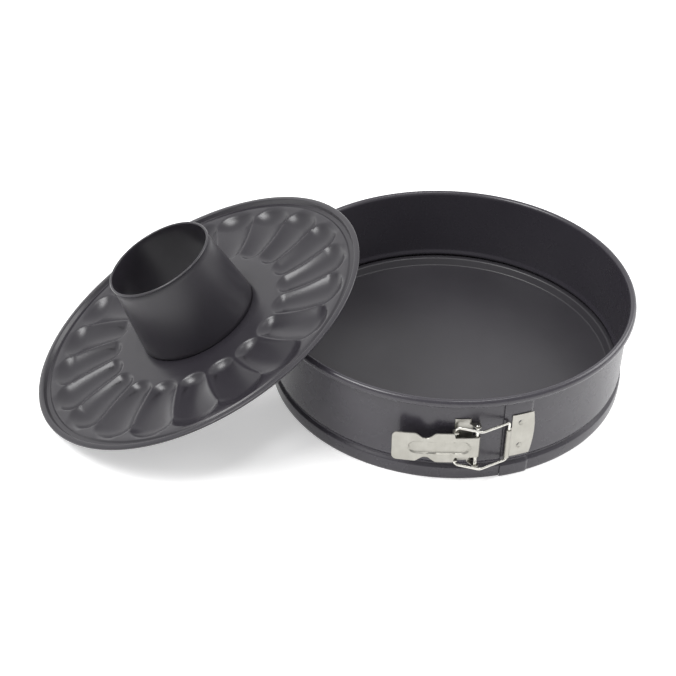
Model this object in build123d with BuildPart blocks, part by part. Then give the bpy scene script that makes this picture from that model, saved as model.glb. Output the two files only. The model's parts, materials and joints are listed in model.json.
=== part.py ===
"""A springform pan: a two-layer band with an over-centre latch, its flat base, and a fluted tube base.

Millimetres, +Z up. The origin is on the pan's axis at the level of the surface that it stands on.
The band's open ends meet at -Y, where the latch is, and the band bends at +Y.
"""
from build123d import *
from math import asin, cos, degrees, radians, sin
import os

os.makedirs("parts", exist_ok=True)

# ---- driving dimensions -------------------------------------------------------------------
wall_radius = 130.0  # inside of the band
band_height = 70.8
sheet = 0.6  # steel of the band and of the fluted base
curl_radius = 2.5  # outside of the rolled rim
curl_turn = 305  # degrees that the rim is rolled through
groove_depth = 1.0  # how far the foot groove stands out of the wall
bead_depth = 1.6  # how far the bead above the groove stands into the pan
heel_height = 2.2  # where the foot's curve meets the groove
groove_top = 9.4
bead_height = 12.5
bead_top = 15.6
toe_inset = 0.2  # the foot's inner edge, out from the wall's inside
foot_width = 0.5  # flat that the band stands on

end_gap = 0.3  # degrees of air between the two halves, at the seam and at the bend
tongue_angle = 7.0  # how far the left end runs under the right end
tongue_bottom = 17.0
tongue_top = 62.5
lap_angle = 9.0  # how far the right end is raised to lie over it
lap_rise = 0.95
lap_top = 63.5
joggle_angle = 0.35

base_sheet = 0.8
base_radius = 130.7  # rim of both bases
base_floor_top = 4.3
base_rim_top = 9.9
base_skirt_bottom = 1.7
base_rim_inside = 126.0
base_step = 2.2  # width of the slope between the floor and the rim
base_edge = 1.4  # radius of the rim's turned edge

latch_height = 33.0  # middle of the latch above the table
plate_bottom = 17.7
plate_top = 53.5
plate_sheet = 0.8  # stamped steel of the bracket and the catch
button_radius = 2.1  # pressed through the band to hold a plate on it
button_heights = (25.1, 45.3)
catch_button_arc = 13.0  # places on the wall are arc lengths right of the seam
bracket_button_arc = -27.5
catch_span = (5.8, 22.4)
catch_tab = (4.0, 5.9)  # joins the plate to its knuckle
knuckle_bottom = 18.6
knuckle_length = 24.4
bracket_span = (-32.0, -22.0)
bracket_upright = (-23.0, -20.6)  # carries the ears
ear_outline = ((-23.0, 0.2), (-20.4, 4.1), (-15.6, 4.1), (-15.6, 0.3))
ear_inset = 16.5  # bracket ears above and below the latch's middle
wire_radius = 0.85
wire_bend = 3.0
wire_fold = 1.6  # where the wire turns into the knuckle
arm_reach = 16.3  # bail arms above and below the latch's middle
pin_radius = 1.2
pin_chamfer = 0.3
pin_ear_width = 1.2  # metal of the ear round the pin
running_clearance = 0.05
button_gap = 0.1  # between a button and the wall's inside

lever_sheet = 1.0
lever_height = 25.3
lever_neck_height = 17.2
lever_neck_length = 13.0
lever_tip = (-72.8, -120.8)
lever_middle = (-36.6, -132.1)
slot_travel = 3.6  # the bail's leg slides this far along the slot as the lever opens
slot_rise = (1.0, 0.45)  # and this far towards the wall and away from it
notch_place = 34.0  # from the pin
notch_radius = 8.0
notch_stand_off = 4.0  # middle of the notch beyond the lever's edge
lever_corner = 3.5
ear_rim = 0.6
ear_overlap = 0.85  # how far the ears reach into the lever's sheet

flute_count = 20
flute_floor = -9.7
flute_near = (76.0, -1.0, 20.8)  # the flute's inner end: radius, swirl in degrees, roundness
flute_far = (104.0, 1.6, 25.3)
bowl_depth = 6.9
bowl_bottom = 90.0  # radius where the bowl is deepest
land_level = -3.5
land_outer = 125.6
land_inner = 119.0
flange_slope = 1.6  # width of the slope between the land and the flange
ring_outer = 62.2
tube_foot_radius = 45.0
tube_top_radius = 38.0
tube_top = 53.0  # above the fluted base's rim
tube_lip = 0.5
tube_seam = 1.4  # width of the crimp above the ring
tube_flange = 2.4  # and of the flange below it
ring_level = -5.5  # flat ring that the tube stands on
rim_depth = 1.5  # turned edge of the fluted base
insert_tilt = 24.35
insert_azimuth = 172.31
insert_place = (-184.4, 24.9)
table_gap = 0.02

# ---- places that follow from them ---------------------------------------------------------
wall_outside = wall_radius + sheet
lap_outside = wall_outside + lap_rise
seam = -90.0
bend = 90.0


def azimuth_at(arc):
    """The azimuth of a point on the wall's outside, an arc length right of the seam."""
    return seam + degrees(arc / wall_outside)


def on_wall(arc, stand_off):
    """The plan point at an arc length right of the seam and a distance off the wall's outside."""
    angle = radians(azimuth_at(arc))
    reach = wall_outside + stand_off
    return Vector(reach * cos(angle), reach * sin(angle))


def raised(point, height):
    """A plan point lifted to a height."""
    return Vector(point.X, point.Y, height)


def half_plane(azimuth):
    """The half plane through the pan's axis at an azimuth: X outwards, Y up."""
    outwards = Vector(cos(radians(azimuth)), sin(radians(azimuth)), 0)
    return Plane(origin=(0, 0, 0), x_dir=outwards, z_dir=outwards.cross(Vector(0, 0, 1)))


def spin(first, last):
    """Turns the pending section about the pan's axis from one azimuth to another."""
    revolve(axis=Axis.Z, revolution_arc=last - first)


def button_planes(arc, inner):
    """The planes of the two buttons at an arc length, facing out of the wall."""
    outwards = on_wall(arc, 0).normalized()
    places = [raised(outwards * inner, height) for height in button_heights]
    return [Plane(origin=place, x_dir=(0, 0, 1), z_dir=outwards) for place in places]


catch_point = on_wall(3.1, 2.95)
pivot_point = on_wall(-18.0, 4.1)
elbow_point = on_wall(-15.8, 9.5)
hook_point = on_wall(-31.8, 3.7)
along_lever = (hook_point - pivot_point).normalized()
off_lever = Vector(-along_lever.Y, along_lever.X)


# ---- the band -----------------------------------------------------------------------------
def band_side(radius, top):
    """Draws one face of the band, from its foot to the given height."""
    groove_end = (radius + groove_depth, groove_top)
    bead_tip = (radius - bead_depth, bead_height)
    bead_end = (radius, bead_top)
    upright = (0, 1)
    Line((radius + groove_depth, heel_height), groove_end)
    Spline(groove_end, bead_tip, bead_end, tangents=[upright, upright, upright])
    Line(bead_end, (radius, top))


def band_foot(inner, outer):
    """Closes the section at the bottom, with a foot that turns in to stand on the table."""
    toe = wall_radius + toe_inset
    flat_end = toe + foot_width
    inner_heel = (inner + groove_depth, heel_height)
    outer_heel = (outer + groove_depth, heel_height)
    ThreePointArc((toe, sheet), (inner + groove_depth - 0.25, 1.05), inner_heel)
    ThreePointArc((flat_end, 0), (outer + groove_depth - 0.25, 0.65), outer_heel)
    Polyline((flat_end, 0), (toe, 0), (toe, sheet))


def plain_section():
    """The band's section, with its rim rolled outwards."""
    middle = (wall_radius + curl_radius, band_height - curl_radius)
    with BuildLine() as outline:
        band_side(wall_radius, middle[1])
        band_side(wall_outside, middle[1])
        band_foot(wall_radius, wall_outside)
        outer_curl = CenterArc(middle, curl_radius, 180, -curl_turn)
        inner_curl = CenterArc(middle, curl_radius - sheet, 180, -curl_turn)
        Line(outer_curl @ 1, inner_curl @ 1)
    return outline.edges()


def raised_section(inner, outer):
    """The wall of the lap between the given radii, which leans back to the rim at the top."""
    under_rim = band_height - curl_radius
    with BuildLine() as outline:
        band_side(inner, lap_top)
        band_side(outer, lap_top)
        band_foot(inner, outer)
        Line((inner, lap_top), (wall_radius, under_rim))
        Line((outer, lap_top), (wall_outside, under_rim))
        Line((wall_radius, under_rim), (wall_outside, under_rim))
    return outline.edges()


def rim_section():
    """The rolled rim alone."""
    middle = (wall_radius + curl_radius, band_height - curl_radius)
    with BuildLine() as outline:
        outer_curl = CenterArc(middle, curl_radius, 180, -curl_turn)
        inner_curl = CenterArc(middle, curl_radius - sheet, 180, -curl_turn)
        Line(outer_curl @ 1, inner_curl @ 1)
        Line(outer_curl @ 0, inner_curl @ 0)
    return outline.edges()


with BuildPart() as band_left:
    with BuildSketch(half_plane(bend)):
        make_face(plain_section())
    spin(bend, seam + 360)
    with BuildSketch(half_plane(seam)):
        with Locations((wall_radius + sheet / 2, (tongue_bottom + tongue_top) / 2)):
            Rectangle(sheet, tongue_top - tongue_bottom)
    spin(seam, seam + tongue_angle)
    for plane in button_planes(bracket_button_arc, wall_radius - sheet):
        with BuildSketch(plane):
            Circle(button_radius)
        extrude(amount=3 * sheet, mode=Mode.SUBTRACT)
band_left.part.label = "band_left"
export_step(band_left.part, "parts/band_left.step")

with BuildPart() as band_right:
    seam_edge = seam + end_gap
    joggle = seam + lap_angle
    with BuildSketch(half_plane(joggle)):
        make_face(plain_section())
    spin(joggle, bend - end_gap)
    with BuildSketch(half_plane(seam_edge)):
        make_face(raised_section(wall_radius + lap_rise, lap_outside))
    spin(seam_edge, joggle)
    with BuildSketch(half_plane(seam_edge)):
        make_face(rim_section())
    spin(seam_edge, joggle)
    with BuildSketch(half_plane(joggle)):
        make_face(raised_section(wall_radius, lap_outside))
    spin(joggle, joggle + joggle_angle)
    for plane in button_planes(catch_button_arc, wall_radius):
        with BuildSketch(plane):
            Circle(button_radius)
        extrude(amount=4 * sheet, mode=Mode.SUBTRACT)
band_right.part.label = "band_right"
export_step(band_right.part, "parts/band_right.step")

# ---- the flat base, held in the groove of the band ----------------------------------------
with BuildPart() as flat_base:
    with BuildSketch(Plane.XZ):
        with BuildLine():
            step_inside = base_rim_inside - base_step
            edge_bottom = base_rim_top - base_edge
            skirt_inside = base_radius - base_sheet
            under_shift = base_sheet * 0.6  # keeps the slope as thick as the floor
            top = Polyline((0, base_floor_top), (step_inside, base_floor_top),
                           (base_rim_inside, base_rim_top), (base_radius - base_edge, base_rim_top))
            RadiusArc(top @ 1, (base_radius, edge_bottom), base_edge)
            Polyline((base_radius, edge_bottom), (base_radius, base_skirt_bottom),
                     (skirt_inside, base_skirt_bottom), (skirt_inside, edge_bottom))
            under = Polyline((base_radius - base_edge, base_rim_top - base_sheet),
                             (base_rim_inside + under_shift, base_rim_top - base_sheet),
                             (step_inside + under_shift, base_floor_top - base_sheet),
                             (0, base_floor_top - base_sheet), (0, base_floor_top))
            RadiusArc(under @ 0, (skirt_inside, edge_bottom), base_edge - base_sheet)
        make_face()
    revolve(axis=Axis.Z)
flat_base.part.label = "flat_base"
export_step(flat_base.part, "parts/flat_base.step")

# ---- the latch ----------------------------------------------------------------------------
with BuildPart() as catch_plate:
    plate = (*catch_span, plate_bottom, plate_top)
    tab = (*catch_tab, knuckle_bottom, knuckle_bottom + knuckle_length)
    for first, last, bottom, top in (plate, tab):
        with BuildSketch(half_plane(azimuth_at(first))):
            with Locations((lap_outside + plate_sheet / 2, (bottom + top) / 2)):
                Rectangle(plate_sheet, top - bottom)
        spin(azimuth_at(first), azimuth_at(last))
    with BuildSketch(Plane.XY.offset(knuckle_bottom)):
        with Locations(catch_point):
            Circle(wire_radius + running_clearance + plate_sheet)
    extrude(amount=knuckle_length)
    with BuildSketch(Plane.XY.offset(knuckle_bottom)):
        with Locations(catch_point):
            Circle(wire_radius + running_clearance)
    extrude(amount=knuckle_length, mode=Mode.SUBTRACT)
    for plane in button_planes(catch_button_arc, wall_radius + lap_rise + button_gap):
        with BuildSketch(plane):
            Circle(button_radius)
        extrude(amount=sheet + plate_sheet / 2)
catch_plate.part.label = "catch_plate"
export_step(catch_plate.part, "parts/catch_plate.step")

with BuildPart() as latch_bracket:
    ear_bottom = latch_height - ear_inset - plate_sheet
    ear_top = latch_height + ear_inset + plate_sheet
    plate = (*bracket_span, plate_bottom, plate_top)
    upright = (*bracket_upright, ear_bottom, ear_top)
    for first, last, bottom, top in (plate, upright):
        with BuildSketch(half_plane(azimuth_at(first))):
            with Locations((wall_outside + plate_sheet / 2, (bottom + top) / 2)):
                Rectangle(plate_sheet, top - bottom)
        spin(azimuth_at(first), azimuth_at(last))
    for height in (ear_bottom, ear_top - plate_sheet):
        with BuildSketch(Plane.XY.offset(height)):
            with BuildLine():
                Polyline([on_wall(*corner) for corner in ear_outline], close=True)
            make_face()
            with Locations(pivot_point):
                Circle(pin_radius + pin_ear_width)
                Circle(pin_radius, mode=Mode.SUBTRACT)
        extrude(amount=plate_sheet)
    for plane in button_planes(bracket_button_arc, wall_radius + button_gap):
        with BuildSketch(plane):
            Circle(button_radius)
        extrude(amount=sheet + plate_sheet / 2)
latch_bracket.part.label = "latch_bracket"
export_step(latch_bracket.part, "parts/latch_bracket.step")

pin_length = 2 * ear_inset + 4 * plate_sheet
with BuildPart() as pivot_pin:
    with BuildSketch(Plane.XY.offset(latch_height - pin_length / 2)):
        with Locations(pivot_point):
            Circle(pin_radius)
    extrude(amount=pin_length)
    chamfer(pivot_pin.faces().filter_by(Axis.Z).edges(), pin_chamfer)
pivot_pin.part.label = "pivot_pin"
export_step(pivot_pin.part, "parts/pivot_pin.step")

eye_radius = pin_radius + running_clearance + lever_sheet
lever_root = pivot_point + off_lever * eye_radius
with BuildPart() as latch_lever:
    with BuildSketch(Plane.XY.offset(latch_height - lever_height / 2)):
        with BuildLine():
            face_line = ThreePointArc(lever_tip, lever_middle, lever_root)
            back = [face_line @ share - off_lever * lever_sheet for share in (0, 0.5, 1)]
            ThreePointArc(*back)
            Line(face_line @ 0, back[0])
            Line(face_line @ 1, back[2])
        make_face()
    extrude(amount=lever_height)
    lever_length = (face_line @ 1 - face_line @ 0).length
    facing = Plane(origin=raised(lever_root, latch_height), x_dir=face_line @ 0 - face_line @ 1,
                   z_dir=(face_line @ 0 - face_line @ 1).cross(Vector(0, 0, 1)))
    with BuildSketch(facing):
        with Locations((lever_neck_length / 2, 0)):
            Rectangle(lever_neck_length + 1, lever_neck_height)
        with Locations(((lever_neck_length + lever_length) / 2, 0)):
            RectangleRounded(lever_length - lever_neck_length, lever_height, lever_corner)
        notch_height = lever_height / 2 + notch_stand_off
        with Locations((notch_place, notch_height), (notch_place, -notch_height)):
            Circle(notch_radius, mode=Mode.SUBTRACT)
    extrude(amount=lever_height, both=True, mode=Mode.INTERSECT)
    with BuildSketch(Plane.XY.offset(latch_height - lever_neck_height / 2)):
        with Locations(pivot_point):
            Circle(eye_radius)
    extrude(amount=lever_neck_height)
    with BuildSketch(Plane.XY.offset(latch_height - lever_neck_height / 2)):
        with Locations(pivot_point):
            Circle(pin_radius + running_clearance)
    extrude(amount=lever_neck_height, mode=Mode.SUBTRACT)
    slot_half = wire_radius + running_clearance
    slot_length = slot_travel + 2 * slot_half
    slot_width = 2 * slot_half + sum(slot_rise)
    slot_shift = (slot_rise[0] - slot_rise[1]) / 2
    for height in (latch_height - lever_height / 2, latch_height + lever_height / 2 - lever_sheet):
        towards_pivot = raised(-along_lever, 0)
        with BuildSketch(Plane(origin=raised(hook_point, height), x_dir=towards_pivot, z_dir=(0, 0, 1))):
            with Locations((slot_travel / 2, slot_shift - ear_overlap / 2)):
                Rectangle(slot_length + 2 * ear_rim, slot_width + ear_rim + ear_overlap)
            with Locations((slot_travel / 2, slot_shift)):
                Rectangle(slot_length, slot_width, mode=Mode.SUBTRACT)
        extrude(amount=lever_sheet)
latch_lever.part.label = "latch_lever"
export_step(latch_lever.part, "parts/latch_lever.step")

arm_top = latch_height + arm_reach
arm_bottom = latch_height - arm_reach
wire_ends = 0.2  # the wire's two ends nearly meet inside the knuckle
with BuildPart() as bail_wire:
    with BuildLine() as bail_path:
        FilletPolyline(
            raised(catch_point, latch_height + wire_ends),
            raised(catch_point, arm_top),
            raised(elbow_point, arm_top),
            raised(hook_point, arm_top),
            raised(hook_point, arm_bottom),
            raised(elbow_point, arm_bottom),
            raised(catch_point, arm_bottom),
            raised(catch_point, latch_height - wire_ends),
            radius=[wire_fold, wire_bend, wire_bend, wire_bend, wire_bend, wire_fold],
        )
    with BuildSketch(Plane(origin=bail_path.line @ 0, z_dir=bail_path.line % 0)):
        Circle(wire_radius)
    sweep()
bail_wire.part.label = "bail_wire"
export_step(bail_wire.part, "parts/bail_wire.step")

# ---- the fluted base and its tube, leaning on the pan -------------------------------------
tilt = radians(insert_tilt)
lean = radians(insert_azimuth)
insert_axis = Vector(sin(tilt) * cos(lean), sin(tilt) * sin(lean), cos(tilt))
insert_height = table_gap + land_outer * sin(tilt) + (sheet - land_level) * cos(tilt)
insert_centre = Vector(insert_place[0], insert_place[1], insert_height)
insert_plane = Plane(origin=insert_centre, x_dir=insert_axis.cross(Vector(0, 0, 1)), z_dir=insert_axis)
insert_section = Plane(origin=insert_centre, x_dir=insert_plane.x_dir, z_dir=-insert_plane.y_dir)
flange_inner = land_outer + flange_slope


def plate_face(drop):
    """Draws the bowl's section from the flange to the tube, the given distance below its top."""
    corner = Line((flange_inner, -drop), (land_outer, land_level - drop))
    land = Line(corner @ 1, (land_inner, land_level - drop))
    bowl = ThreePointArc(land @ 1, (bowl_bottom, -bowl_depth - drop), (ring_outer, ring_level - drop))
    ring = Line(bowl @ 1, (tube_foot_radius, ring_level - drop))
    return ring @ 1


def flute_end(radius, swirl, roundness):
    """The middle of a flute's round end, in the fluted base's own frame."""
    angle = radians(swirl)
    return Vector(radius * cos(angle), radius * sin(angle), flute_floor + roundness)


def flute(extra):
    """One flute as a solid: two balls and the cone that touches both, grown by a thickness."""
    near = flute_end(*flute_near)
    far = flute_end(*flute_far)
    near_round = flute_near[2] + extra
    far_round = flute_far[2] + extra
    run = far - near
    slope = asin((far_round - near_round) / run.length)
    across = Vector(-run.Y, run.X, 0)
    axis_plane = Plane(origin=near, x_dir=run, z_dir=across)
    near_touch = (-near_round * sin(slope), near_round * cos(slope))
    far_touch = (run.length - far_round * sin(slope), far_round * cos(slope))
    with BuildPart() as body:
        with BuildSketch(axis_plane):
            with BuildLine():
                RadiusArc((-near_round, 0), near_touch, near_round)
                Line(near_touch, far_touch)
                RadiusArc(far_touch, (run.length + far_round, 0), far_round)
                Line((run.length + far_round, 0), (-near_round, 0))
            make_face()
        revolve(axis=Axis(near, run))
    return body.part


flute_outside = flute(sheet)
flute_inside = flute(0)
spindle = Axis(insert_centre, insert_axis)
clear_above = 60.0
clear_outside = base_radius + 5

with BuildPart() as fluted_plate:
    with BuildSketch(insert_section):
        with BuildLine():
            top_end = plate_face(0)
            under_end = plate_face(sheet)
            Line(top_end, under_end)
            Polyline((flange_inner, 0), (base_radius, 0), (base_radius, -rim_depth),
                     (base_radius - sheet, -rim_depth), (base_radius - sheet, -sheet),
                     (flange_inner, -sheet))
        make_face()
    revolve(axis=spindle)
    with Locations(insert_plane):
        with PolarLocations(0, flute_count):
            add(flute_outside)
    with Locations(insert_plane):
        with PolarLocations(0, flute_count):
            add(flute_inside, mode=Mode.SUBTRACT)
    with BuildSketch(insert_section):
        with BuildLine():
            top_end = plate_face(0)
            Polyline(top_end, (tube_foot_radius, clear_above), (clear_outside, clear_above),
                     (clear_outside, 0), (flange_inner, 0))
        make_face()
    revolve(axis=spindle, mode=Mode.SUBTRACT)
fluted_plate.part.label = "fluted_plate"
export_step(fluted_plate.part, "parts/fluted_plate.step")

with BuildPart() as centre_tube:
    under_plate = ring_level - sheet
    with BuildSketch(insert_section):
        with BuildLine():
            Polyline((tube_foot_radius, under_plate), (tube_foot_radius, ring_level),
                     (tube_foot_radius + tube_seam, ring_level),
                     (tube_foot_radius + tube_seam, ring_level + sheet),
                     (tube_foot_radius, ring_level + 2 * sheet),
                     (tube_top_radius, tube_top - tube_lip), (tube_top_radius + tube_lip, tube_top - tube_lip),
                     (tube_top_radius + tube_lip, tube_top), (tube_top_radius - sheet, tube_top),
                     (tube_foot_radius - sheet, ring_level), (tube_foot_radius - sheet, under_plate - sheet),
                     (tube_foot_radius + tube_flange, under_plate - sheet),
                     (tube_foot_radius + tube_flange, under_plate), close=True)
        make_face()
    revolve(axis=spindle)
centre_tube.part.label = "centre_tube"
export_step(centre_tube.part, "parts/centre_tube.step")
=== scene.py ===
"""A springform pan with its latch closed, and the fluted tube base that leans on it.

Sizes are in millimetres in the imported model's frame, and become metres in make_piece.
"""
import json
import math

import bmesh
import bpy
from mathutils import Matrix, Vector


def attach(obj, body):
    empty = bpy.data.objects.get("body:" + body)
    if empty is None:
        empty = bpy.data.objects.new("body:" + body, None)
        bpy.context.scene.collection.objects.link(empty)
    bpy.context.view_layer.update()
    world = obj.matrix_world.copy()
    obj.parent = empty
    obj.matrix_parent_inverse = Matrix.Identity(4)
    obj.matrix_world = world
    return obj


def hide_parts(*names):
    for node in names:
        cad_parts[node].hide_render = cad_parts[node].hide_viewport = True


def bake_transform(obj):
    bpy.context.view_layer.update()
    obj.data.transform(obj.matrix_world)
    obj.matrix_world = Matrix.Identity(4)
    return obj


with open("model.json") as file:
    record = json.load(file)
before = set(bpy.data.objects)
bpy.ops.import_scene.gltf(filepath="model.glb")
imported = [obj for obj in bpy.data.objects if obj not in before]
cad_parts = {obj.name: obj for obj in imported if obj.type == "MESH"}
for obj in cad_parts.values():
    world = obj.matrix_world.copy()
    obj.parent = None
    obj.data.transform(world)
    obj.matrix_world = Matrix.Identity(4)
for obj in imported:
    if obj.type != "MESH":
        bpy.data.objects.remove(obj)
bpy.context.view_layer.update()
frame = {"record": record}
MM = 0.001
SAME_POINT = 1e-7  # metres

# ---- driving sizes ------------------------------------------------------------------------
# They are the CAD model's, apart from the roll's height, the wire, the flutes and the bowl they are in.
WALL_RADIUS = 130.0
SHEET = 0.6
WALL_OUTSIDE = WALL_RADIUS + SHEET
CURL_RADIUS = 2.5
CURL_HEIGHT = 3.1  # half the height of the roll, which is a little taller than it is wide
CURL_TURN = 305.0
BAND_HEIGHT = 70.8
GROOVE_DEPTH = 1.0  # how far the groove at the foot stands out of the wall
BEAD_DEPTH = 1.6  # how far the bead above it stands into the pan
SEAM = -90.0
LAP_ANGLE = 9.0
LAP_RISE = 0.95
LAP_TOP = 62.0  # above this the lap leans back to the rim
LAP_LEAN = 3.5
LAP_STEP = 1.1  # degrees in which the lap comes down to the plain wall
TONGUE_ANGLE = 7.0
TONGUE_BOTTOM = 17.0
TONGUE_TOP = 62.5

BASE_RADIUS = 130.7  # rim of both bases
BASE_SHEET = 0.8
FLOOR_TOP = 4.3
FLOOR_RIM_TOP = 9.9
FLOOR_RADIUS = 123.4
FLOOR_RIM_INSIDE = 126.1
FLOOR_SKIRT_BOTTOM = 1.8
LATCH_HEIGHT = 33.0  # middle of the latch

TABLE_GAP = 0.02
INSERT_TILT = math.radians(24.35)
INSERT_AZIMUTH = math.radians(172.31)
RING_OUTER = 62.2  # flat ring that the tube stands on
RING_LEVEL = -5.5  # levels of the insert are measured from its rim
CHANNEL_OUTER = 125.6  # channel inside the rim, which rests on the table
CHANNEL_LEVEL = -3.5
INSERT_HEIGHT = (TABLE_GAP + CHANNEL_OUTER * math.sin(INSERT_TILT)
                 + (SHEET - CHANNEL_LEVEL) * math.cos(INSERT_TILT))
INSERT_CENTRE = Vector((-184.4, 24.9, INSERT_HEIGHT))
FLUTES = 20
FLUTE_FLOOR = -9.65
FLUTE_ENDS = (72.0, 105.5)  # radii of the middles of a flute's two round ends
FLUTE_ROUND = (16.2, 29.2)  # and the radii of the section there
FLUTE_END_SQUASH = 1.35  # how much shorter the ends are than a ball's
TUBE_FOOT = 45.0
TUBE_TOP = 38.0
TUBE_RISE = 52.0
TUBE_LIP = 0.62

CAMERA_LENS = 63.9
CAMERA_PLACE = Vector((-232.8, -688.0, 568.2))
CAMERA_AHEAD = Vector((0.1697, 0.7782, -0.6046))


# ---- camera -------------------------------------------------------------------------------
def add_camera():
    """The camera, which looks down at the pan from the front left."""
    data = bpy.data.cameras.new("camera")
    data.lens = CAMERA_LENS
    data.clip_end = 20  # metres
    camera = bpy.data.objects.new("camera", data)
    bpy.context.scene.collection.objects.link(camera)
    ahead = CAMERA_AHEAD.normalized()
    right = ahead.cross(Vector((0, 0, 1))).normalized()
    up = right.cross(ahead)
    turn = Matrix((right, up, -ahead)).transposed().to_4x4()
    camera.matrix_world = Matrix.Translation(CAMERA_PLACE * MM) @ turn
    bpy.context.scene.camera = camera
    bpy.context.scene.view_settings.view_transform = "Standard"


add_camera()


# ---- materials ----------------------------------------------------------------------------
def new_material(name):
    """An empty material with its shader, and the node tree to build on."""
    material = bpy.data.materials.new(name)
    material.use_nodes = True
    return material, material.node_tree, material.node_tree.nodes["Principled BSDF"]


def add_noise(tree, scale, detail, stretch=(1, 1, 1)):
    """Noise in the object's own coordinates, stretched along the axes."""
    place = tree.nodes.new("ShaderNodeTexCoord")
    mapping = tree.nodes.new("ShaderNodeMapping")
    mapping.inputs["Scale"].default_value = stretch
    noise = tree.nodes.new("ShaderNodeTexNoise")
    noise.inputs["Scale"].default_value = scale
    noise.inputs["Detail"].default_value = detail
    tree.links.new(place.outputs["Object"], mapping.inputs["Vector"])
    tree.links.new(mapping.outputs["Vector"], noise.inputs["Vector"])
    return noise.outputs["Fac"]


def add_range(tree, value, low, high):
    """Maps noise to a range of values."""
    node = tree.nodes.new("ShaderNodeMapRange")
    node.inputs["From Min"].default_value = 0.3
    node.inputs["From Max"].default_value = 0.7
    node.inputs["To Min"].default_value = low
    node.inputs["To Max"].default_value = high
    tree.links.new(value, node.inputs["Value"])
    return node.outputs["Result"]


def add_colours(tree, value, dark, light):
    """A colour between two, chosen by noise."""
    ramp = tree.nodes.new("ShaderNodeValToRGB")
    ramp.color_ramp.elements[0].position = 0.3
    ramp.color_ramp.elements[0].color = (*dark, 1)
    ramp.color_ramp.elements[1].position = 0.7
    ramp.color_ramp.elements[1].color = (*light, 1)
    tree.links.new(value, ramp.inputs["Fac"])
    return ramp.outputs["Color"]


def add_bump(tree, height, strength, distance, below=None):
    """A bump that reads a height, laid over another bump if there is one."""
    bump = tree.nodes.new("ShaderNodeBump")
    bump.inputs["Strength"].default_value = strength
    bump.inputs["Distance"].default_value = distance
    tree.links.new(height, bump.inputs["Height"])
    if below is not None:
        tree.links.new(below, bump.inputs["Normal"])
    return bump.outputs["Normal"]


def nonstick(name, dark, light, gloss):
    """Satin non-stick coating: a fine grain, a faint unevenness, and slightly uneven gloss."""
    material, tree, shader = new_material(name)
    grain = add_noise(tree, 2600, 3)
    cloud = add_noise(tree, 18, 4)
    colour = add_colours(tree, cloud, dark, light)
    tree.links.new(colour, shader.inputs["Base Color"])
    rough = add_range(tree, add_noise(tree, 55, 5), gloss - 0.025, gloss + 0.025)
    tree.links.new(rough, shader.inputs["Roughness"])
    normal = add_bump(tree, grain, 0.05, 0.00002)
    normal = add_bump(tree, add_noise(tree, 45, 1), 0.01, 0.0003, normal)
    tree.links.new(normal, shader.inputs["Normal"])
    shader.inputs["Specular IOR Level"].default_value = 0.5
    return material


def steel(name, dark, light, gloss, stretch):
    """Satin steel with fine drawing lines."""
    material, tree, shader = new_material(name)
    lines = add_noise(tree, 900, 4, stretch)
    colour = add_colours(tree, add_noise(tree, 140, 5), dark, light)
    tree.links.new(colour, shader.inputs["Base Color"])
    rough = add_range(tree, lines, gloss - 0.06, gloss + 0.06)
    tree.links.new(rough, shader.inputs["Roughness"])
    tree.links.new(add_bump(tree, lines, 0.15, 0.00006), shader.inputs["Normal"])
    shader.inputs["Metallic"].default_value = 1.0
    return material


COATED_BAND = nonstick("nonstick_band", (0.034, 0.031, 0.039), (0.039, 0.036, 0.044), 0.27)
COATED_BASE = nonstick("nonstick_base", (0.033, 0.031, 0.036), (0.038, 0.036, 0.041), 0.38)
COATED_INSERT = nonstick("nonstick_insert", (0.020, 0.018, 0.023), (0.025, 0.023, 0.028), 0.30)
STAMPED_STEEL = steel("latch_steel", (0.33, 0.322, 0.29), (0.39, 0.38, 0.347), 0.38, (1, 1, 0.08))
DRAWN_STEEL = steel("wire_steel", (0.58, 0.57, 0.53), (0.68, 0.67, 0.62), 0.30, (0.15, 0.15, 1))


# ---- outlines and skins -------------------------------------------------------------------
def rounded(corners, radii, step=10.0):
    """Points along a line that goes round its inner corners on arcs of the given radii."""
    points = [Vector(corners[0])]
    for before, corner, after, radius in zip(corners, corners[1:], corners[2:], radii):
        here = Vector(corner)
        back = (Vector(before) - here).normalized()
        on = (Vector(after) - here).normalized()
        turn = math.pi - back.angle(on)
        reach = radius * math.tan(turn / 2)
        middle = here + (back + on).normalized() * (radius / math.cos(turn / 2))
        first = here + back * reach - middle
        last = here + on * reach - middle
        side = 1 if first.x * last.y > first.y * last.x else -1
        count = max(2, round(math.degrees(turn) / step))
        for i in range(count + 1):
            angle = side * turn * i / count
            spun = Vector((first.x * math.cos(angle) - first.y * math.sin(angle),
                           first.x * math.sin(angle) + first.y * math.cos(angle)))
            points.append(middle + spun)
    points.append(Vector(corners[-1]))
    return points


def arc(middle, radius, first, last, step=12.0):
    """Points on an arc about a middle, between two angles in degrees."""
    count = max(2, round(abs(last - first) / step))
    points = []
    for i in range(count + 1):
        angle = math.radians(first + (last - first) * i / count)
        points.append(Vector((middle[0] + radius * math.cos(angle), middle[1] + radius * math.sin(angle))))
    return points


def spaced(points, longest):
    """The same line with extra points, so that no step is longer than asked."""
    result = [points[0]]
    for a, b in zip(points, points[1:]):
        count = max(1, math.ceil((b - a).length / longest))
        result += [a.lerp(b, (i + 1) / count) for i in range(count)]
    return result


def sides(line, thickness):
    """The unit normals of a line at its points, times half the thickness."""
    normals = []
    for i in range(len(line)):
        run = line[min(i + 1, len(line) - 1)] - line[max(i - 1, 0)]
        normals.append(Vector((-run.y, run.x)).normalized() * thickness / 2)
    return normals


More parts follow.
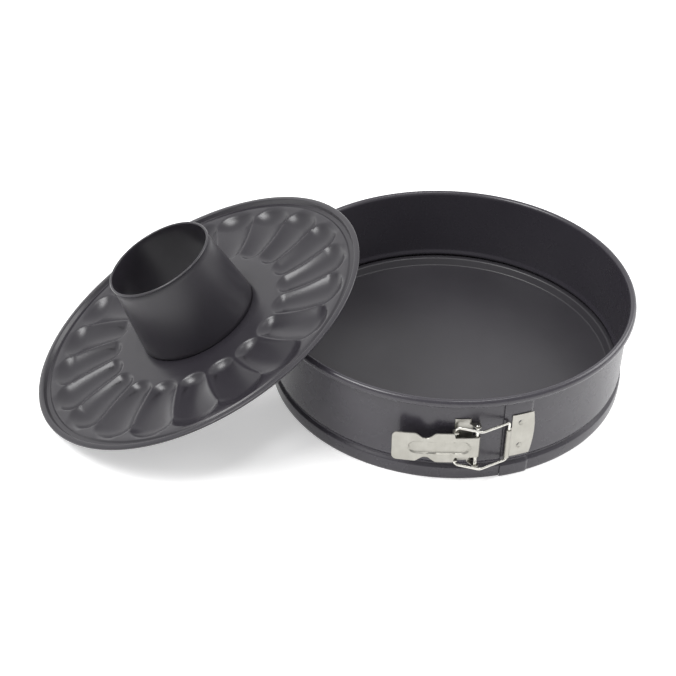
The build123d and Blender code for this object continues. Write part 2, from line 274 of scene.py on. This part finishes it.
def thick(line, thickness, round_ends=True):
    """The closed outline of a sheet whose middle follows a line, with rounded edges."""
    normals = sides(line, thickness)
    left = [p + n for p, n in zip(line, normals)]
    right = [p - n for p, n in zip(line, normals)]
    if not round_ends:
        return left + right[::-1]
    far = edge_round(line[-1], normals[-1])
    near = edge_round(line[0], -normals[0])
    return left + far + right[::-1] + near


def edge_round(end, normal):
    """Points round the edge of a sheet, from one face to the other."""
    ahead = Vector((normal.y, -normal.x))
    angles = (math.pi / 4, math.pi / 2, 3 * math.pi / 4)
    return [end + normal * math.cos(a) + ahead * math.sin(a) for a in angles]


def make_piece(name, points, faces, material, sharp=35.0):
    """A mesh object from points in millimetres, with smooth faces and creases at sharp angles."""
    mesh = bpy.data.meshes.new(name)
    mesh.from_pydata([Vector(p) * MM for p in points], [], faces)
    body = bmesh.new()
    body.from_mesh(mesh)
    bmesh.ops.remove_doubles(body, verts=body.verts, dist=SAME_POINT)
    bmesh.ops.dissolve_degenerate(body, edges=body.edges, dist=SAME_POINT)
    bmesh.ops.recalc_face_normals(body, faces=body.faces)
    body.to_mesh(mesh)
    body.free()
    mesh.polygons.foreach_set("use_smooth", [True] * len(mesh.polygons))
    mesh.set_sharp_from_angle(angle=math.radians(sharp))
    mesh.materials.append(material)
    piece = bpy.data.objects.new(name, mesh)
    bpy.context.scene.collection.objects.link(piece)
    return piece


class Shell:
    """Points and faces that grow by skins over loops of points."""

    def __init__(self):
        self.points = []
        self.faces = []

    def skin(self, loops, ring=False):
        """Covers a run of equal loops. A ring closes on itself, and a run gets a cap at each end."""
        start = len(self.points)
        size = len(loops[0])
        for loop in loops:
            self.points += loop
        for i in range(len(loops) if ring else len(loops) - 1):
            this = start + i * size
            following = start + (i + 1) % len(loops) * size
            for j in range(size):
                k = (j + 1) % size
                self.faces.append((this + j, this + k, following + k, following + j))
        if not ring:
            self.faces.append(tuple(range(start, start + size)))
            self.faces.append(tuple(range(start + (len(loops) - 1) * size, start + len(loops) * size)))
        return self


def turned(outline, azimuth):
    """An outline of radius and height, stood up at an azimuth."""
    angle = math.radians(azimuth)
    return [Vector((p.x * math.cos(angle), p.x * math.sin(angle), p.y)) for p in outline]


def steps(first, last, longest):
    """Evenly spaced values from first to last."""
    count = max(1, math.ceil(abs(last - first) / longest))
    return [first + (last - first) * i / count for i in range(count + 1)]


def smooth(value):
    """0 below 0, 1 above 1, and a smooth rise between."""
    t = min(max(value, 0.0), 1.0)
    return t * t * (3 - 2 * t)


def stand_for(node):
    """Hides the CAD node that a piece replaces. Gives the body that the node is on."""
    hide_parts(node)
    bodies = frame["record"]["behaviour"]["bodies"]
    return next(body for body, nodes in bodies.items() if node in nodes)


# ---- the band -----------------------------------------------------------------------------
def band_line():
    """The middle of the band's sheet, from its foot to the end of its rolled rim."""
    wall = WALL_RADIUS + SHEET / 2
    groove = wall + GROOVE_DEPTH
    bead = wall - BEAD_DEPTH
    foot = SHEET / 2
    curl_middle = WALL_RADIUS + CURL_RADIUS
    curl_level = BAND_HEIGHT - CURL_HEIGHT
    corners = [(wall + 0.1, foot), (groove - 0.35, foot), (groove - 0.05, 2.6), (groove, 5.6),
               (groove, 9.9), (bead, 12.3), (wall, 15.7), (wall, curl_level)]
    rise = rounded(corners, [0.9, 2.0, 3.0, 1.5, 1.6, 3.0])
    reach = CURL_RADIUS - SHEET / 2
    tall = (CURL_HEIGHT - SHEET / 2) / reach
    curl = [Vector((curl_middle + p.x, curl_level + p.y * tall))
            for p in arc((0, 0), reach, 180, 180 - CURL_TURN, 11.0)]
    return spaced(rise, 4.0) + curl[1:]


def raise_lap(line, share):
    """The band's line with its wall moved out by a share of the lap's rise, below the rim."""
    return [Vector((p.x + LAP_RISE * share * (1 - smooth((p.y - LAP_TOP) / LAP_LEAN)), p.y))
            for p in line]


def band_left():
    """The left half, with the tongue that runs under the lap."""
    shell = Shell()
    line = band_line()
    azimuths = [90.0, 90.05] + steps(91.0, 268.0, 1.0) + [269.0, 269.95, 270.0]
    shell.skin([turned(thick(line, SHEET), a) for a in azimuths])
    thinner = SHEET - 0.04  # keeps the tongue's root inside the wall
    middle = WALL_RADIUS + SHEET / 2
    tongue = spaced([Vector((middle, TONGUE_BOTTOM)), Vector((middle, TONGUE_TOP))], 4.0)
    shell.skin([turned(thick(tongue, thinner), a) for a in steps(269.6, 270 + TONGUE_ANGLE, 0.7)])
    return make_piece("band_left_half", shell.points, shell.faces, COATED_BAND)


def band_right():
    """The right half, whose end is raised to lie over the tongue."""
    line = band_line()
    first = SEAM + 0.04  # a hair of air at the seam
    last_raised = SEAM + LAP_ANGLE - 0.9
    azimuths = [first, first + 0.05] + steps(SEAM + 1, last_raised, 1.0)
    azimuths += steps(last_raised, SEAM + LAP_ANGLE + 0.3, 0.15)[1:]
    azimuths += steps(SEAM + LAP_ANGLE + 1, 89.0, 1.0) + [89.95, 90.0]
    loops = []
    for a in azimuths:
        share = 1 - smooth((a - last_raised) / LAP_STEP)
        loops.append(turned(thick(raise_lap(line, share), SHEET), a))
    shell = Shell().skin(loops)
    return make_piece("band_right_half", shell.points, shell.faces, COATED_BAND)


def add_band():
    """Both halves, baked where they stand. On the real pan they bend out of the fixed back when the latch
    opens; here they are not attached to a body and nothing makes them bend.
    """
    for make, node in ((band_left, "band_left"), (band_right, "band_right")):
        piece = make()
        body = stand_for(node)
        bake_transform(piece)


# ---- the flat base ------------------------------------------------------------------------
def add_flat_base():
    """The floor of the pan, with a step up to the rim that sits in the groove."""
    middle = BASE_SHEET / 2
    floor = FLOOR_TOP - middle
    rim = FLOOR_RIM_TOP - middle
    edge = BASE_RADIUS - middle
    corners = [(0.0, floor), (FLOOR_RADIUS, floor), (FLOOR_RIM_INSIDE, rim), (edge, rim),
               (edge, FLOOR_SKIRT_BOTTOM)]
    raised_rim = rounded(corners, [1.6, 1.1, 1.3])[1:]
    line = [Vector((r, floor)) for r in (0.0, 20.0, 50.0, 80.0, 100.0, 112.0)] + raised_rim
    outline = thick(line, BASE_SHEET, round_ends=False)
    shell = Shell().skin([turned(outline, a) for a in steps(0, 359, 1.0)], ring=True)
    piece = make_piece("pan_floor", shell.points, shell.faces, COATED_BASE)
    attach(piece, stand_for("flat_base"))


# ---- the fluted base and its tube ---------------------------------------------------------
NORMAL = Vector((math.sin(INSERT_TILT) * math.cos(INSERT_AZIMUTH),
                 math.sin(INSERT_TILT) * math.sin(INSERT_AZIMUTH), math.cos(INSERT_TILT)))
LEVEL = Vector((0, 0, 1)).cross(NORMAL).normalized()
UPHILL = NORMAL.cross(LEVEL)


def leaning(outline, azimuth):
    """An outline of radius and height, stood up in the leaning base's frame."""
    angle = math.radians(azimuth)
    out = LEVEL * math.cos(angle) + UPHILL * math.sin(angle)
    return [INSERT_CENTRE + out * p.x + NORMAL * p.y for p in outline]


def flute_level(radius, azimuth, bowl):
    """The height of the fluted plate at a place: the lowest of the bowl and the flutes round it."""
    spacing = 360 / FLUTES
    inner_end, outer_end = FLUTE_ENDS
    along = min(max(radius, inner_end), outer_end)
    share = (along - inner_end) / (outer_end - inner_end)
    swirl = -2.9 + 3.0 * share - 0.5 * math.sin(math.pi * share)  # degrees
    phase = (azimuth - swirl + spacing / 2) % spacing - spacing / 2
    roundness = FLUTE_ROUND[0] + (FLUTE_ROUND[1] - FLUTE_ROUND[0]) * share
    soft = 0.16  # rounds the ridges where the shapes meet
    total = math.exp(-bowl / soft)
    for turn in (-spacing, 0, spacing):
        sideways = math.radians(phase + turn) * along
        away = min(math.hypot(sideways, (radius - along) * FLUTE_END_SQUASH), roundness - 0.1)
        level = FLUTE_FLOOR + roundness - math.sqrt(roundness * roundness - away * away)
        total += math.exp(-min(level, 0.0) / soft)
    return -soft * math.log(total)


def plate_line():
    """The middle of the fluted base's sheet, from the tube out to the turned rim."""
    half = SHEET / 2
    middle, radius = bowl_circle()
    ring = [Vector((r, RING_LEVEL - half)) for r in (TUBE_FOOT - 0.4, 53.0, 61.0)]
    bowl = [Vector((r, middle[1] - math.sqrt(radius ** 2 - (r - middle[0]) ** 2) - half))
            for r in steps(RING_OUTER, 118.0, 0.9)]
    rim_edge = BASE_RADIUS - 0.9
    hem_radius = 0.62
    land = (118.3, -2.7 - half)
    corners = [land, (121.4, -2.6 - half), (122.4, CHANNEL_LEVEL - half),
               (CHANNEL_OUTER + 0.1, CHANNEL_LEVEL - half), (127.0, -half), (rim_edge + 0.35, -half)]
    flange = rounded(corners, [0.5, 0.5, 0.9, 0.9], 18.0)
    hem = arc((rim_edge, -half - hem_radius), hem_radius, 62, -95, 22.0)
    return ring + bowl + flange[1:-1] + hem


def bowl_circle():
    """The circle of the bowl's section, through the ring's edge, a middle ridge and the land."""
    a, b, c = (RING_OUTER, RING_LEVEL), (90.0, -5.4), (118.5, -2.8)
    d = 2 * (a[0] * (b[1] - c[1]) + b[0] * (c[1] - a[1]) + c[0] * (a[1] - b[1]))
    squares = [p[0] ** 2 + p[1] ** 2 for p in (a, b, c)]
    x = (squares[0] * (b[1] - c[1]) + squares[1] * (c[1] - a[1]) + squares[2] * (a[1] - b[1])) / d
    y = (squares[0] * (c[0] - b[0]) + squares[1] * (a[0] - c[0]) + squares[2] * (b[0] - a[0])) / d
    return (x, y), math.hypot(a[0] - x, a[1] - y)


def add_fluted_plate():
    """The plate with its swirled flutes, which lie between the ring and the channel."""
    fluted_from, fluted_to = 55, 124
    outline = thick(plate_line(), SHEET)
    loops = []
    for azimuth in steps(0, 359.4, 0.6):
        sunk = []
        for p in outline:
            level = flute_level(p.x, azimuth, p.y) if fluted_from < p.x < fluted_to else p.y
            sunk.append(Vector((p.x, level)))
        loops.append(leaning(sunk, azimuth))
    shell = Shell().skin(loops, ring=True)
    piece = make_piece("fluted_base_plate", shell.points, shell.faces, COATED_INSERT, 50.0)
    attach(piece, stand_for("fluted_plate"))


def add_tube():
    """The tapered tube, with a rolled lip and a crimped foot."""
    half = SHEET / 2
    under = RING_LEVEL - 3 * half  # the crimp's flange lies under the plate
    rise = rounded([(TUBE_FOOT + 1.9, under), (TUBE_FOOT - 1.6, under), (TUBE_FOOT - 0.9, -4.6),
                    (TUBE_FOOT - half, -2.8), (TUBE_TOP - half, TUBE_RISE)], [0.6, 1.0, 2.0], 15.0)
    lip = arc((TUBE_TOP - half + TUBE_LIP, TUBE_RISE), TUBE_LIP, 180, -60, 20.0)
    line = spaced(rise, 6.0)[:-1] + lip
    outline = thick(line, SHEET)
    shell = Shell().skin([leaning(outline, a) for a in steps(0, 357.5, 2.5)], ring=True)
    piece = make_piece("tube", shell.points, shell.faces, COATED_INSERT)
    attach(piece, stand_for("centre_tube"))


# ---- the latch ----------------------------------------------------------------------------
def on_wall(along, off):
    """The plan point at an arc length right of the seam and a distance off the wall's outside."""
    angle = math.radians(SEAM) + along / WALL_OUTSIDE
    reach = WALL_OUTSIDE + off
    return Vector((reach * math.cos(angle), reach * math.sin(angle)))


def at_height(point, height):
    """A plan point lifted to a height."""
    return Vector((point.x, point.y, height))


CATCH = (3.1, 2.95)  # places of the latch: how far along the wall from the seam, and off it
PIVOT = (-18.0, 4.1)
ELBOW = (-15.8, 9.5)
HOOK = (-31.8, 3.7)
PLATE_SHEET = 0.8
PLATE_BOTTOM = 17.7
PLATE_TOP = 53.5
KNUCKLE_BOTTOM = 18.6
KNUCKLE_TOP = 43.0
BRACKET_LEFT = -32.0
BRACKET_RIGHT = -22.0
BUTTON_RADIUS = 2.1
EASED = 0.55  # share of a sheet's thickness that is left at an eased edge
WIRE_RADIUS = 0.95
WIRE_PLAY = 0.03
ARM_REACH = 16.3  # how far the bail's arms lie above and below the middle of the latch
EAR_INSET = ARM_REACH + 0.2  # the inner faces of the bracket's ears
PIN_RADIUS = 1.2

LEVER_SHEET = 1.0
LEVER_TIP = Vector((-72.8, -120.8))  # outer face of the free end, in plan
LEVER_BOW = 1.7
LEVER_HALF = 12.65  # half the lever's height
LEVER_TIP_HALF = 12.15
LEVER_CORNER = 3.6
NECK_HALF = 8.6
SHOULDER = 14.6  # places along the lever are measured from the pin
NOTCH_AT = 33.6
NOTCH_DEPTH = 4.4
RIB_START = 4.4
RIB_END_MARGIN = 11.0
RIB_HALF = 4.8
RIB_DEPTH = 1.15
RIB_SLOPE = 0.8


def upright_strip(shell, line, bottom, top, thickness, longest=4.0):
    """Adds a sheet that stands on a plan line between two heights, with its edges eased."""
    ease = thickness * 0.2
    between = steps(bottom + 2 * ease, top - 2 * ease, longest)
    loops = []
    for height in [bottom, bottom + ease] + between + [top - ease, top]:
        eased = thickness * (EASED if height in (bottom, top) else 1.0)
        loops.append([at_height(on_wall(p.x, p.y), height) for p in thick(line, eased)])
    shell.skin(loops)


def dimple(along, height, middle):
    """How far a pressed button sinks a plate at a place: deepest at its upper left."""
    across = along - middle[0]
    up = height - middle[1]
    away = math.hypot(across, up) / BUTTON_RADIUS
    lean = 0.5 + 0.5 * (up - across) / (math.hypot(across, up) + 0.6)
    return 1.2 * (1 - smooth((away - 0.8) / 0.26)) * (0.3 + 0.7 * lean * lean)


def add_catch_plate():
    """The plate on the right end of the band, rolled round the bail's leg at its left edge."""
    shell = Shell()
    middle = LAP_RISE + PLATE_SHEET / 2
    buttons = ((12.1, 46.3), (12.1, 26.3))
    columns = 36
    ease = 0.15
    loops = []
    for height in [PLATE_BOTTOM] + steps(PLATE_BOTTOM + ease, PLATE_TOP - ease, 0.45) + [PLATE_TOP]:
        left = 5.9 if height > KNUCKLE_TOP else 5.0
        share = (height - PLATE_BOTTOM) / (PLATE_TOP - PLATE_BOTTOM)
        right = 19.6 + 0.6 * share + 2.0 * math.sin(math.pi * share) ** 0.8
        line = []
        for i in range(columns + 1):
            along = left + (right - left) * i / columns
            sunk = sum(dimple(along, height, b) for b in buttons)
            line.append(Vector((along, middle - sunk)))
        eased = PLATE_SHEET * (EASED if height in (PLATE_BOTTOM, PLATE_TOP) else 1.0)
        loops.append([at_height(on_wall(p.x, p.y), height) for p in thick(line, eased)])
    shell.skin(loops)
    roll = WIRE_RADIUS + WIRE_PLAY + PLATE_SHEET / 2
    line = [Vector((6.6, middle + 0.02)), Vector((4.6, middle + 0.05))]
    line += arc(CATCH, roll, -88, -352, 15.0)
    upright_strip(shell, line, KNUCKLE_BOTTOM, KNUCKLE_TOP, PLATE_SHEET)
    piece = make_piece("catch_plate_pressed", shell.points, shell.faces, STAMPED_STEEL)
    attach(piece, stand_for("catch_plate"))


def flat_ear(shell, outline, bottom, thickness):
    """Adds a flat plate with a closed plan outline along and off the wall."""
    ease = 0.12
    middle = sum(outline, Vector((0, 0))) / len(outline)
    loops = []
    for height, shrink in ((bottom, ease), (bottom + ease, 0), (bottom + thickness - ease, 0),
                           (bottom + thickness, ease)):
        drawn = [p + (middle - p).normalized() * shrink for p in outline]
        loops.append([at_height(on_wall(p.x, p.y), height) for p in drawn])
    shell.skin(loops)


def add_bracket():
    """The bracket on the left half, with an ear above and below the lever's neck."""
    shell = Shell()
    middle = PLATE_SHEET / 2
    low = LATCH_HEIGHT - EAR_INSET - PLATE_SHEET
    high = LATCH_HEIGHT + EAR_INSET
    plate = spaced([Vector((BRACKET_LEFT, middle)), Vector((BRACKET_RIGHT, middle))], 1.0)
    upright_strip(shell, plate, PLATE_BOTTOM, PLATE_TOP, PLATE_SHEET, 3.0)
    bend = spaced([Vector((-22.8, middle + 0.01)), Vector((-20.6, middle + 0.01))], 0.8)
    upright_strip(shell, bend, low + 0.1, high + PLATE_SHEET - 0.1, PLATE_SHEET, 3.0)
    for bottom in (low, high):
        outline = [Vector((-23.2, 0.3)), Vector((-22.4, 1.6))]
        outline += arc(PIVOT, 2.35, 170, 10, 15.0) + [Vector((-15.9, 2.0)), Vector((-15.9, 0.5))]
        flat_ear(shell, outline, bottom, PLATE_SHEET)
    piece = make_piece("latch_bracket_pressed", shell.points, shell.faces, STAMPED_STEEL)
    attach(piece, stand_for("latch_bracket"))


def add_pin():
    """The pin across the bracket's ears, with its ends peened over."""
    reach = EAR_INSET + 2 * PLATE_SHEET
    profile = [(0.01, -reach), (0.8, -reach), (PIN_RADIUS, -reach + 0.35),
               (PIN_RADIUS, reach - 0.35), (0.8, reach), (0.01, reach)]
    middle = on_wall(*PIVOT)
    around = [math.radians(15 * i) for i in range(24)]
    loops = []
    for radius, rise in profile:
        ring = [middle + Vector((radius * math.cos(a), radius * math.sin(a))) for a in around]
        loops.append([at_height(p, LATCH_HEIGHT + rise) for p in ring])
    shell = Shell().skin(loops)
    piece = make_piece("pivot_pin_turned", shell.points, shell.faces, DRAWN_STEEL)
    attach(piece, stand_for("pivot_pin"))


def add_lever():
    """The lever: a bowed plate with notches and a sunk rib, rolled round the pin at its right end."""
    pivot = on_wall(*PIVOT)
    hook = on_wall(*HOOK)
    along = (hook - pivot).normalized()
    off = Vector((-along.y, along.x))
    eye = PIN_RADIUS + 0.05 + LEVER_SHEET / 2
    tip = LEVER_TIP - off * LEVER_SHEET / 2
    root = pivot + off * eye
    length = (tip - root).length
    run = (tip - root) / length
    out = Vector((-run.y, run.x))
    step_from, step_to, tip_from = SHOULDER - 0.6, SHOULDER + 0.6, length - 4
    stations = sorted(set(steps(0, step_from, 1.2) + steps(step_from, step_to, 0.15)
                          + steps(step_to, tip_from, 0.7) + steps(tip_from, length, 0.2)))
    shell = Shell()
    loops = []
    for angle in steps(285, 0, 12)[:-1]:
        spin = math.radians(angle)
        radial = off * math.cos(spin) + Vector((-off.y, off.x)) * math.sin(spin)
        loops.append(lever_loop(pivot + radial * eye, radial, NECK_HALF))
    for s in stations:
        middle = root + run * s + out * LEVER_BOW * (1 - (2 * s / length - 1) ** 2)
        slope = -LEVER_BOW * 4 * (2 * s / length - 1) / length
        normal = (out - run * slope).normalized()
        loops.append(lever_loop(middle, normal, lever_reach(s, length), (s, length)))
    shell.skin(loops)
    add_lever_ears(shell, hook, along, off)
    piece = make_piece("latch_lever_pressed", shell.points, shell.faces, STAMPED_STEEL, 40.0)
    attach(piece, stand_for("latch_lever"))


def lever_reach(station, length):
    """Half the lever's height at a place along it: neck, shoulder, notches and rounded tip."""
    reach = NECK_HALF + (LEVER_HALF - NECK_HALF) * smooth((station - SHOULDER + 0.5) / 1.0)
    reach -= (LEVER_HALF - LEVER_TIP_HALF) * smooth((station - 30) / 20)
    reach -= NOTCH_DEPTH * (1 - smooth((abs(station - NOTCH_AT) - 0.6) / 7.0))
    into = station - (length - LEVER_CORNER)
    if into > 0:
        reach -= LEVER_CORNER - math.sqrt(max(LEVER_CORNER ** 2 - into * into, 0.0))
    return reach


def rib_sunk(station, length, across):
    """How deep the lever's rib is sunk at a place."""
    rib_end = length - RIB_END_MARGIN
    past_end = max(RIB_START + RIB_HALF - station, station - rib_end + RIB_HALF, 0.0)
    away = math.hypot(past_end, across)
    return RIB_DEPTH * (1 - smooth((away - RIB_HALF + RIB_SLOPE / 2) / RIB_SLOPE))


def lever_loop(middle, normal, reach, rib_place=None):
    """One section across the lever, with the sunk rib if it is given a place along the lever."""
    count = 64
    half = LEVER_SHEET / 2
    edge = LEVER_SHEET * 0.3
    outer = []
    inner = []
    for i in range(count + 1):
        across = -reach + 2 * reach * i / count
        into_edge = max(abs(across) - reach + edge, 0)
        eased = edge - math.sqrt(max(edge * edge - into_edge ** 2, 0))
        sunk = rib_sunk(*rib_place, across) if rib_place else 0.0
        outer.append(at_height(middle + normal * (half - eased - sunk), LATCH_HEIGHT + across))
        inner.append(at_height(middle + normal * (-half + eased - sunk), LATCH_HEIGHT + across))
    return outer + inner[::-1]


def add_lever_ears(shell, hook, along, off):
    """Two ears bent in from the lever's edges, with a hole for the bail's leg."""
    hole = WIRE_RADIUS + 0.12
    half_length, half_depth = 2.1, 2.2
    squareness = 6
    directions = [(math.cos(a), math.sin(a)) for a in (2 * math.pi * i / 32 for i in range(32))]
    inside = [hook + along * across * hole + off * deep * hole for across, deep in directions]
    outside = []
    for across, deep in directions:
        grow = (abs(across) ** squareness + abs(deep) ** squareness) ** (-1 / squareness)
        outside.append(hook + along * (across * grow * half_length) + off * (deep * grow * half_depth))
    for bottom in (LATCH_HEIGHT - LEVER_HALF, LATCH_HEIGHT + LEVER_HALF - LEVER_SHEET):
        top = bottom + LEVER_SHEET
        corners = ((inside, bottom), (outside, bottom), (outside, top), (inside, top))
        loops = [[at_height(p, height) for p in ring] for ring, height in corners]
        shell.skin(loops, ring=True)


def add_bail():
    """The wire loop, whose two ends meet inside the knuckle."""
    catch, elbow, hook = on_wall(*CATCH), on_wall(*ELBOW), on_wall(*HOOK)
    top = LATCH_HEIGHT + ARM_REACH
    bottom = LATCH_HEIGHT - ARM_REACH
    ends = 0.2
    corners = [at_height(catch, LATCH_HEIGHT + ends), at_height(catch, top), at_height(elbow, top),
               at_height(hook, top), at_height(hook, bottom), at_height(elbow, bottom),
               at_height(catch, bottom), at_height(catch, LATCH_HEIGHT - ends)]
    path = bent_path(corners, [1.8, 4.5, 3.6, 3.6, 4.5, 1.8])
    shell = Shell().skin(wire_loops(path, WIRE_RADIUS, 20))
    piece = make_piece("bail_wire_bent", shell.points, shell.faces, DRAWN_STEEL, 60.0)
    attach(piece, stand_for("bail_wire"))


def bent_path(corners, radii):
    """Points along straight runs in space that are joined by arcs."""
    points = [corners[0]]
    for before, corner, after, radius in zip(corners, corners[1:], corners[2:], radii):
        back = (before - corner).normalized()
        on = (after - corner).normalized()
        turn = math.pi - back.angle(on)
        reach = radius * math.tan(turn / 2)
        middle = corner + (back + on).normalized() * (radius / math.cos(turn / 2))
        first = corner + back * reach - middle
        axis = first.cross(corner + on * reach - middle).normalized()
        count = max(3, round(math.degrees(turn) / 9))
        for i in range(count + 1):
            points.append(middle + Matrix.Rotation(turn * i / count, 3, axis) @ first)
    points.append(corners[-1])
    return points


def wire_loops(path, radius, count):
    """Rings of points round a path, without twist."""
    loops = []
    side = Vector((1, 0, 0))
    for i, p in enumerate(path):
        run = (path[min(i + 1, len(path) - 1)] - path[max(i - 1, 0)]).normalized()
        side = (side - run * side.dot(run)).normalized()
        other = run.cross(side)
        loops.append([p + (side * math.cos(a) + other * math.sin(a)) * radius
                      for a in (2 * math.pi * j / count for j in range(count))])
    return loops


# ---- floor and light ----------------------------------------------------------------------
def add_floor():
    """A plain pale floor that glows a little, so that it comes out nearly white."""
    reach = 30.0  # metres
    mesh = bpy.data.meshes.new("floor")
    corners = [(-reach, -reach, 0), (reach, -reach, 0), (reach, reach, 0), (-reach, reach, 0)]
    mesh.from_pydata(corners, [], [(0, 1, 2, 3)])
    floor = bpy.data.objects.new("floor", mesh)
    bpy.context.scene.collection.objects.link(floor)
    material, tree, shader = new_material("pale_floor")
    colour = add_colours(tree, add_noise(tree, 2.0, 2), (0.86, 0.86, 0.86), (0.88, 0.88, 0.88))
    tree.links.new(colour, shader.inputs["Base Color"])
    shader.inputs["Emission Color"].default_value = (1, 1, 1, 1)
    shader.inputs["Emission Strength"].default_value = 0.38
    shader.inputs["Roughness"].default_value = 0.9
    shader.inputs["Specular IOR Level"].default_value = 0.1
    mesh.materials.append(material)


def add_softbox(name, place, aim, width, height, power, colour=(1, 1, 1)):
    """A rectangular light that faces a point."""
    data = bpy.data.lights.new(name, "AREA")
    data.shape = "RECTANGLE"
    data.size = width
    data.size_y = height
    data.energy = power
    data.color = colour
    light = bpy.data.objects.new(name, data)
    light.location = place
    light.rotation_euler = (Vector(aim) - Vector(place)).to_track_quat("-Z", "Y").to_euler()
    bpy.context.scene.collection.objects.link(light)


def add_front_shade(tree, background, front, back):
    """The surround is dimmer in front of the pan than behind it."""
    place = tree.nodes.new("ShaderNodeTexCoord")
    split = tree.nodes.new("ShaderNodeSeparateXYZ")
    fade = tree.nodes.new("ShaderNodeMapRange")
    fade.inputs["From Min"].default_value = -1.0
    fade.inputs["To Min"].default_value = front
    fade.inputs["To Max"].default_value = back
    tree.links.new(place.outputs["Generated"], split.inputs["Vector"])
    tree.links.new(split.outputs["Y"], fade.inputs["Value"])
    tree.links.new(fade.outputs["Result"], background.inputs["Strength"])


def add_light():
    """Soft studio light: boxes at the upper left and the right, a strip overhead, and a surround.

    Places and sizes are in metres, powers in watts.
    """
    world = bpy.data.worlds.new("studio")
    bpy.context.scene.world = world
    world.use_nodes = True
    background = world.node_tree.nodes["Background"]
    background.inputs["Color"].default_value = (1.0, 1.0, 1.0, 1)
    add_front_shade(world.node_tree, background, 0.42, 1.15)
    add_softbox("upper_left", (-0.91, -0.18, 1.34), (-0.18, 0.02, 0.05), 0.8, 0.65, 17)
    add_softbox("right_side", (1.25, 0.15, 0.95), (0, 0, 0.03), 1.1, 0.9, 15)
    add_softbox("overhead_strip", (0.2, -0.36, 1.4), (0, 0, 0.05), 0.7, 0.2, 4)


add_band()
add_flat_base()
add_fluted_plate()
add_tube()
add_catch_plate()
add_bracket()
add_pin()
add_lever()
add_bail()
add_floor()
add_light()
